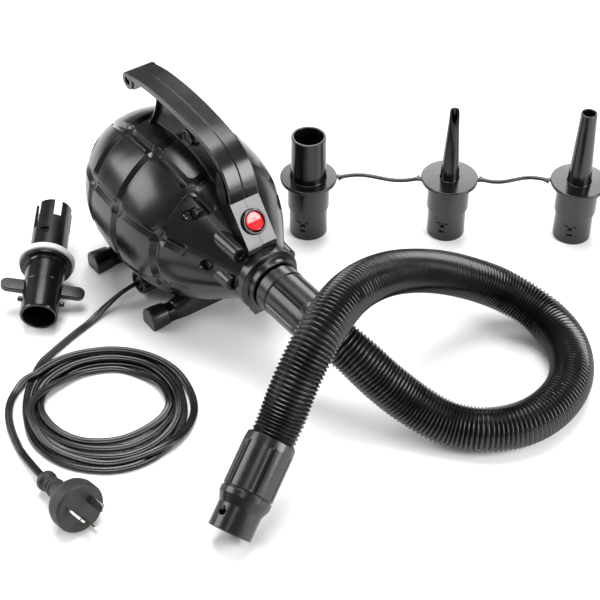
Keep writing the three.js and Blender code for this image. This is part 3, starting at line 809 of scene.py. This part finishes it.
def add_web(shape, side):
    """The web between the band and the egg, with small fillets at both and a rounded rear edge."""
    rows = 30
    line = [(p.x + d.x * 4.6, p.z + d.z * 4.6) for p, d in band_line()]
    line = [q for q in line if -16 <= q[0] <= 81 and q[1] > 60]
    outer = []
    for j in range(rows + 1):
        v = j / rows
        row = []
        for u in WEB_COLUMNS:
            eased = u ** 1.15
            where = eased * (len(line) - 1)
            a, b = line[int(where)], line[min(int(where) + 1, len(line) - 1)]
            top_x, top_z = (a[k] + (b[k] - a[k]) * (where - int(where)) for k in (0, 1))
            foot_x = -31 + (84 + 31) * eased
            foot_z = skin_at(foot_x, WEB_HALF) - 4
            bow = 4 * math.sin(math.pi * v) * (1 - u) ** 3
            x = foot_x + (top_x - foot_x) * v**1.2 + bow
            z = foot_z + (top_z - foot_z) * v
            above = z - skin_at(x, WEB_HALF)
            half = web_core(u) + 0.5 * soft_rise(above, 2.5) + 0.8 * soft_rise(top_z - z, 3)
            row.append((x, side * (min(half, BAND_HALF - 0.3) if v > 0.5 else half), z))
        outer.append(row)
    flat = [[(x, side * SEAM, z) for x, _, z in row] for row in outer]
    shape.grid(outer).grid(flat).rim(outer, flat)


def add_switch_block(shape, side):
    """The wedge that carries the switch, from the end of the band down to the collar."""
    outline = [
        (74, 79.5), (82.3, 66.6), tuple(PANEL_TOP - Vector((0.6, 0.4))), tuple(PANEL_FOOT),
        (107, 21), (92, 20), (72, 34), (68, 58), (69, 74),
    ]
    low, high = sorted((side * SEAM, side * BAND_HALF))
    shape.prism(outline, low, high)


POSTS = {-1: [(17.5, 25), (24.5, 2)], 1: [(24.5, 2)]}  # Y (towards each side) and Z of the screw posts
POST_PROFILE = [(66, 0), (66, 8.6), (84, 7.4), (104.6, 6.2), (104.6, 2), (101, 2), (101, 0)]


def add_posts(shape, side):
    for y, z in POSTS[side]:
        shape.lathe(rounded(POST_PROFILE, 0.8), 36, "x", shift(0, side * y, z))


SCREWS = [(28, 80), (62, 41), (84, 10), (-66, 30), (-66, -30), (45, -42)]
SCREW_SEATS = [-7, -26, -30, -26, -26, -26]
SCREW_SLOT = [(59.5, -33.4, 40), (71, -19, 46)]  # the open slot that leads to the second screw
SLOT_R = 4.0
CORD_BOSS = (-1, -61)


def nearest_skin(x, z, reach):
    """How far from the middle plane the egg's skin comes, at least, within reach of a point."""
    turns = (0, 0.8, 1.6, 2.4, 3.1, 3.9, 4.7, 5.5)
    around = [(x + reach * math.cos(t), z + reach * math.sin(t)) for t in turns]
    return min(skin_at(a, b) for a, b in around)


def add_screw_cups(shape):
    """Tubes behind each screw's hole, and the flared boss on the web."""
    for (x, z), seat in list(zip(SCREWS, SCREW_SEATS))[1:]:
        mouth = -(nearest_skin(x, z, 5.8) - GROOVE_DEPTH - 0.6)
        if mouth > seat - 1:
            continue
        cup = [(seat + 5, 2.2), (seat + 5, 5.8), (mouth, 5.8), (mouth, 4.3), (seat, 4.3), (seat, 2.2)]
        shape.lathe(cup, 32, "y", shift(x, 0, z))
    x, z = SCREWS[0]
    flare = [(-3, 4.2), (-3, 9), (-5.6, 8), (-7.4, 6.6), (-10.4, 6.0), (-10.4, 4.2)]
    shape.lathe(rounded(flare, 1.0, closed=True), 40, "y", shift(x, 0, z))


def add_cord_boss(shape):
    """The tube that the lead leaves through, with three ribs inside its mouth."""
    ribs = []
    for y in (-43, -41, -39):
        ribs += [(y - 0.7, 7.6), (y - 0.5, 7.0), (y + 0.5, 7.0), (y + 0.7, 7.6)]
    profile = [(-44.2, 9.8), (-45, 9), (-45, 7.9), (-44.4, 7.6), *ribs, (-36, 7.2), (-20, 7.2), (-20, 9.8)]
    shape.lathe(profile, 48, "y", shift(CORD_BOSS[0], 0, CORD_BOSS[1]))


def screw_cutters():
    cutters = []
    for (x, z), seat in list(zip(SCREWS, SCREW_SEATS))[1:]:
        profile = [(-80, 0), (-80, 4.4), (seat + 0.2, 4.4), (seat + 0.2, 0)]
        cutters.append(Shape().lathe(profile, 32, "y", PUMP @ shift(x, 0, z)))
    start, end = (PUMP @ Vector(p) for p in SCREW_SLOT)
    along = (end - start).to_track_quat("X", "Z").to_matrix().to_4x4()
    tip = [(-SLOT_R * math.cos(t), SLOT_R * math.sin(t)) for t in (0, 0.4, 0.8, 1.2, 1.57)]
    slot = tip + [((end - start).length, SLOT_R), ((end - start).length, 0)]
    cutters.append(Shape().lathe(slot, 32, "x", Matrix.Translation(start) @ along))
    return cutters


def switch_well():
    return Shape().lathe([(-30, 0), (-30, 8.9), (8, 8.9), (8, 0)], 48, "z", PANEL)


def panel_matrix():
    """Z stands out of the switch panel, from its middle."""
    middle = (PANEL_TOP + PANEL_FOOT) / 2
    slope = math.degrees(math.atan2(PANEL_TOP.y - PANEL_FOOT.y, PANEL_FOOT.x - PANEL_TOP.x))
    return PUMP @ turned_matrix((middle.x, 0, middle.y), y=slope)


PANEL = panel_matrix()


def make_housing(side):
    name = "right" if side < 0 else "left"
    skin = raw_object(f"egg_{name}", half_shell(side), PUMP)
    if side < 0:
        drill(skin, screw_cutters())
    finish_piece(skin, "housing", replaces=[f"housing_{name}"], angle=26)

    grip = Shape()
    add_band(grip, side)
    add_eyelet(grip, side)
    finish_piece(raw_object(f"handle_{name}", grip, PUMP), "grip", angle=35)

    web = Shape()
    add_web(web, side)
    finish_piece(raw_object(f"handle_web_{name}", web, PUMP), "housing", angle=50)

    block = Shape()
    add_switch_block(block, side)
    front = raw_object(f"switch_block_{name}", block, PUMP)
    drill(front, [switch_well()])
    finish_piece(front, "housing", bevel=0.5)

    fittings = Shape()
    add_posts(fittings, side)
    if side < 0:
        add_screw_cups(fittings)
        add_cord_boss(fittings)
    finish_piece(raw_object(f"posts_{name}", fittings, PUMP), "housing", angle=35)


make_housing(-1)
make_housing(1)


# ---- outlet collar ----
def make_collar():
    ring = rounded([
        (107.3, 16), (107.3, 24.6), (115.3, 24.6), (116.4, 20.6), (122.3, 20.4), (122.3, 18.4), (120, 16),
    ], 0.9, closed=True)
    shape = Shape().lathe(ring, 96)
    shape.prism([(107.3, -26.4), (115.3, -26.4), (115.3, -14), (107.3, -14)], -13.5, 13.5)
    piece = raw_object("collar", shape, PUMP)
    finish_piece(piece, "housing", replaces=["outlet_collar"], bevel=0.5)


make_collar()


# ---- rear intake grille ----
def make_grille():
    profile = rounded([
        (-86.6, 0), (-86.1, 12), (-84.7, 21), (-82, 27.7), (-82, 30.4), (-84.6, 30.4), (-87.2, 22),
        (-88.6, 12), (-89, 0),
    ], 0.8)
    piece = raw_object("rear_grille", Shape().lathe(profile, 96), PUMP)
    cutters = []
    for z in (-16, -8, 0, 8, 16):
        half = math.sqrt(22**2 - z * z) - 2 - 1.9
        ends = [(half * s + 1.9 * s * math.cos(t), 1.9 * math.sin(t)) for s in (1, -1) for t in
                [(-90 + 22.5 * k) * math.pi / 180 * s for k in range(9)]]
        behind, inside = ([(x, y, z + h) for y, h in ends] for x in (-95, -78))
        cutters.append(Shape().slab(behind, inside, PUMP))
    drill(piece, cutters)
    finish_piece(piece, "trim", replaces=["intake_grille"], bevel=0.35)


make_grille()


# ---- feet ----
def arch(width, height, y, steps=10):
    """A D-shaped section across Y: flat underneath, round on top."""
    half = width / 2
    shoulder = height * 0.42
    points = [(-half + 0.8, 0), (half - 0.8, 0), (half, 0.8)]
    for k in range(steps + 1):
        t = math.pi * k / steps
        points.append((half * math.cos(t), shoulder + (height - shoulder) * math.sin(t)))
    points.append((-half, 0.8))
    return [(x, y, z - AXIS_HEIGHT) for x, z in points]


FOOT_REACH = 58
# Distance from the middle plane, width and height, from one end of a foot's bar to its middle.
FOOT_BAR = [
    (36.5, 13.6, 13), (35.5, 14.6, 13.8), (33, 15.4, 14.6), (27, 16.6, 17), (20, 17, 21), (12, 17, 25),
    (5, 17, 26),
]


def make_foot(name, x):
    place = PUMP @ shift(x, 0, 0)
    bar = Shape()
    stations = [(-y, w, h) for y, w, h in FOOT_BAR] + FOOT_BAR[::-1]
    bar.loft([arch(w, h, y) for y, w, h in stations], place)
    for side in (-1, 1):
        for k in range(3):
            y = side * (37.6 + 1.7 * k)
            low, high = (12.4, 12), (13.8, 13.2)
            rib = [(y - 0.85, *low), (y - 0.55, *high), (y + 0.35, *high), (y + 0.65, *low)]
            bar.loft([arch(w, h, yy) for yy, w, h in rib], place)
        bar.loft([arch(12.2, 11.8, side * 35), arch(12.2, 11.8, side * 50)], place)
    foot = raw_object(f"{name}_foot", bar)
    finish_piece(foot, "housing", replaces=[f"{name}_foot_bar"], angle=40)
    for side, word in ((-1, "right"), (1, "left")):
        cap = Shape()
        rows = [
            (42.4, 14, 13.6), (42.8, 15, 14.6), (43.6, 15.6, 15.2), (52, 16.8, 16),
            (FOOT_REACH - 0.9, 17, 16), (FOOT_REACH - 0.3, 16.6, 15.6), (FOOT_REACH, 15.6, 14.8),
        ]
        cap.loft([arch(w, h, side * y) for y, w, h in rows], place)
        node = f"{name}_foot_cap_{word}"
        finish_piece(raw_object(f"{name}_foot_tip_{word}", cap), "cap", replaces=[node], angle=50)


make_foot("front", 34)
make_foot("rear", -50)


# ---- strain relief ----
def make_relief():
    profile = [(-26, 0), (-26, 6.1), (-34, 6.0)]
    for y in (-36, -39, -42):
        profile += [(y + 0.9, 5.7), (y + 0.6, 5.0), (y - 0.6, 4.9), (y - 0.9, 5.5)]
    profile += [(-44.2, 4.6), (-44.6, 4.2), (-44.6, 0)]
    place = PUMP @ shift(CORD_BOSS[0], 0, CORD_BOSS[1])
    piece = raw_object("lead_relief", Shape().lathe(profile, 40, "y", place))
    finish_piece(piece, "rubber", replaces=["cord_strain_relief"])


make_relief()


# ---- switch ----
LENS_PROFILE = [
    (0, -3.6), (5.2, -3.6), (6.7, -0.6), (6.9, 1.2), (6.75, 1.9), (6.2, 2.25), (4.6, 2.3), (2.4, 2.2),
    (0, 2.15),
]


def make_switch():
    ring = [(0.2, 7.5), (0.2, 9.7), (1.5, 9.5), (2.3, 8.7), (2.3, 7.9), (1.4, 7.5)]
    bezel = raw_object("switch_ring", Shape().lathe(rounded(ring, 0.5, closed=True), 64, "z", PANEL))
    finish_piece(bezel, "trim", replaces=["switch_bezel"])
    lean = PANEL @ spin(-9, "Y")
    rows, sides = [], 56
    for r, z in LENS_PROFILE:
        row = []
        for k in range(sides):
            t = 2 * math.pi * k / sides
            x, y = r * math.cos(t), r * math.sin(t)
            dish = 0.028 * (x * x) * (z > 1.8) - 0.5 * (z > 1.8) * (1 - abs(x) / 7)
            row.append((x, y, z + max(dish, -0.6)))
        rows.append(row)
    rocker = raw_object("rocker_lens", Shape().grid(rows, wrap_columns=True, matrix=lean))
    finish_piece(rocker, "switch_red", "rocker", ["switch_rocker"], angle=40)
    place = lean @ shift(-3.2, 0, -0.1)
    mark = Shape().lathe([(2.05, 1.5), (2.3, 1.5), (2.3, 2.0), (2.05, 2.0)], 32, "z", place)
    finish_piece(raw_object("rocker_mark", mark), "switch_red", "rocker")


make_switch()


# ---- valve adapter ----
ADAPTER = turned_matrix((-44.4, -127.8, 15), x=12, y=-8.4, z=143.5)
WING_X = 27.5
FINGER_SLOTS = [(11.5, 94), (83.5, 84), (155.5, 84), (227.5, 84), (299.5, 84)]  # degrees round, and start


def make_adapter():
    tube = rounded([
        (0, 12.5), (0, 14.2), (1.2, 14.7), (29, 14.9), (29.5, 15.2), (47.4, 15.4), (49, 16.2), (49, 20.4),
        (51.8, 20.4), (51.8, 14.7), (110, 14.6), (110, 12.5),
    ], 0.5, closed=True)
    piece = raw_object("adapter_tube", Shape().lathe(tube, 84, matrix=ADAPTER))
    cutters = []
    for angle, start in FINGER_SLOTS:
        turn = ADAPTER @ spin(angle, "X")
        outline = [(start, 4), (start + 40, 4), (start + 40, 24), (start, 24)]
        cutters.append(Shape().prism(outline, -3, 3, turn))
    window = ADAPTER @ spin(-22, "X")
    cutters.append(Shape().prism([(74, 4), (80, 4), (80, 24), (74, 24)], -3.6, 3.6, window))
    drill(piece, cutters)
    finish_piece(piece, "trim", replaces=["valve_adapter"], bevel=0.3)

    wings = Shape()
    for side in (-1, 1):
        outline = [(WING_X - 5.5, 13.2)]
        for k in range(13):
            t = math.pi * k / 12
            outline.append((WING_X - 5.5 * math.cos(t), 27 + 5.5 * math.sin(t)))
        outline.append((WING_X + 5.5, 13.2))
        under, top = ([(x, side * y, z) for x, y in outline] for z in (-2.5, 2.5))
        wings.slab(under, top, ADAPTER)
    finish_piece(raw_object("adapter_wings", wings), "trim", bevel=0.9)
    nubs = Shape()
    for side in (-1, 1):
        profile = rounded([(13, 0), (13, 2), (17.2, 2), (18, 1.2), (18, 0)], 0.6)
        facing = spin(90 - 90 * side, "X")
        nubs.lathe(profile, 24, "y", ADAPTER @ shift(15, 0, 0) @ facing)
    finish_piece(raw_object("adapter_nubs", nubs), "trim")

    seal = rounded([(52.2, 15), (52.2, 21.9), (57.4, 21.9), (57.4, 15)], 1.1, closed=True)
    gasket = raw_object("adapter_gasket", Shape().lathe(seal, 84, matrix=ADAPTER))
    finish_piece(gasket, "gasket", replaces=["valve_gasket"])


make_adapter()


# ---- nozzles ----
BARREL = 52
TOP = BARREL + 3
FLANGE_R = 23
NOZZLES = {
    "wide": ((-23, 112), [(TOP, 14.6), (TOP + 39, 13.9), (TOP + 39, 11.6), (BARREL, 12)]),
    "flute": ((45, 203), [(TOP, 7.7), (TOP + 65, 3.6), (TOP + 65, 2), (BARREL, 5.6)]),
    "narrow": ((110, 284), [(TOP, 9.6), (TOP + 65, 6.4), (TOP + 65, 4.8), (BARREL, 7.4)]),
}
LOCK_ANGLE = -55  # the bayonet recess faces this way, in degrees round from +X


def make_nozzle(name, at, tip):
    profile = rounded([
        (0, 13.2), (0, 15.2), (1, 15.4), (25.6, 15.5), (26.4, 16.9), (BARREL, 16.9), (BARREL, FLANGE_R),
        (TOP, FLANGE_R), *tip, (BARREL - 6, 13.2),
    ], 0.7, closed=True)
    place = shift(*at, 0)
    piece = raw_object(f"{name}_nozzle", Shape().lathe(profile, 80, "z", place))
    facing = place @ spin(LOCK_ANGLE, "Z")
    cutters = []
    for low, high, half in ((17.5, 25, 8.5), (9, 18, 2.4)):
        outline = [(14.3, low), (30, low), (30, high), (14.3, high)]
        cutters.append(Shape().prism(outline, -half, half, facing))
    if name == "flute":
        slant = place @ turned_matrix((0, 0, 0), z=-36) @ turned_matrix((1.9, 0, TOP + 56), y=71)
        cutters.append(Shape().prism([(-15, 0), (15, 0), (15, 40), (-15, 40)], -15, 15, slant))
    drill(piece, cutters)
    finish_piece(piece, "trim", replaces=[f"nozzle_{name}"], bevel=0.25)
    nub_profile = rounded([(13.6, 0), (13.6, 1.7), (15.9, 1.7), (16.4, 1.1), (16.4, 0)], 0.5)
    nub = Shape().lathe(nub_profile, 20, "x", facing @ shift(0, 0, 13.5))
    finish_piece(raw_object(f"{name}_nozzle_nub", nub), "trim")


def make_strap(index, start, end, wave):
    along = Vector(end) - Vector(start)
    span = along.length
    along.normalize()
    across = Vector((-along.y, along.x))
    reach = FLANGE_R + 0.4
    points = []
    for i in range(17):
        s = reach + (span - 2 * reach) * i / 16
        side = wave * math.sin(2 * math.pi * i / 16)
        place = Vector(start) + along * s + across * side
        points.append((place.x, place.y, BARREL + 1.5))
    route = smooth_path(points, 1.5)
    section = rounded([(-1.6, -1.3), (1.6, -1.3), (1.6, 1.3), (-1.6, 1.3)], 1.0, closed=True)
    rows = []
    for k, (point, (side, other)) in enumerate(zip(route, frames(route, Vector((0, 0, 1))))):
        wide = 1 + 1.6 * max(0, 1 - min(k, len(route) - 1 - k) / 4) ** 2
        rows.append([point + side * x * wide + other * z for x, z in section])
    piece = raw_object(f"strap_{index}", Shape().grid(rows, wrap_columns=True, caps=True))
    finish_piece(piece, "trim", replaces=[f"nozzle_strap_{index}"], angle=45)


for nozzle, (spot, tip_profile) in NOZZLES.items():
    make_nozzle(nozzle, spot, tip_profile)
make_strap(1, NOZZLES["wide"][0], NOZZLES["flute"][0], 3.5)
make_strap(2, NOZZLES["flute"][0], NOZZLES["narrow"][0], -3.5)


# ---- CAD pieces that stay ----
SLOT_OF = {s["node"]: s["material_slot"] for s in frame["record"]["subparts"]}
for node_name, node in frame["nodes"].items():
    node.data.materials.clear()
    # the housing screws take the near-black screw material, a painted shade of their holes, in place of
    # their steel slot
    look = "screw" if node_name.startswith("housing_screw") else SLOT_OF[node_name]
    node.data.materials.append(MATERIALS[look])
    node.data.shade_smooth()
    node.data.set_sharp_from_angle(angle=math.radians(30))


# ---- studio ----
def make_floor():
    mesh = bpy.data.meshes.new("floor")
    mesh.from_pydata([(-6, -6, 0), (6, -6, 0), (6, 6, 0), (-6, 6, 0)], [], [(0, 1, 2, 3)])
    floor = bpy.data.objects.new("floor", mesh)
    bpy.context.scene.collection.objects.link(floor)
    material, tree, bsdf = shader("floor", (0.93, 0.93, 0.93), 0.6)
    pale = tint(tree, noise(tree, 6, 2), (0.925, 0.925, 0.925), (0.935, 0.935, 0.935))
    tree.links.new(pale, bsdf.inputs["Base Color"])
    floor.data.materials.append(material)


def area_light(name, place, target, size, power):
    data = bpy.data.lights.new(name, "AREA")
    data.shape, data.size, data.size_y, data.energy = "RECTANGLE", *size, power
    light = bpy.data.objects.new(name, data)
    bpy.context.scene.collection.objects.link(light)
    light.location = place
    light.rotation_euler = (Vector(target) - Vector(place)).to_track_quat("-Z", "Y").to_euler()


def make_studio():
    make_floor()
    area_light("left", (-0.95, -1.05, 0.85), (0.0, 0.0, 0.08), (1.1, 0.8), 17)
    area_light("right", (1.12, 0.58, 0.58), (0.06, 0.0, 0.10), (0.6, 0.8), 19)
    area_light("front", (0.55, -0.62, 1.35), (0.05, 0.0, 0.08), (0.4, 0.4), 2)
    area_light("top", (-0.35, 0.25, 1.9), (0.05, 0.0, 0.0), (1.1, 1.1), 38)
    area_light("back", (-1.3, 1.5, 1.1), (0.05, 0.1, 0.05), (1.0, 0.7), 16)
    world = bpy.data.worlds.new("studio")
    bpy.context.scene.world = world
    world.use_nodes = True
    world.node_tree.nodes["Background"].inputs["Color"].default_value = (1, 1, 1, 1)
    world.node_tree.nodes["Background"].inputs["Strength"].default_value = 0.26
    bpy.context.scene.view_settings.view_transform = "Standard"


make_studio()
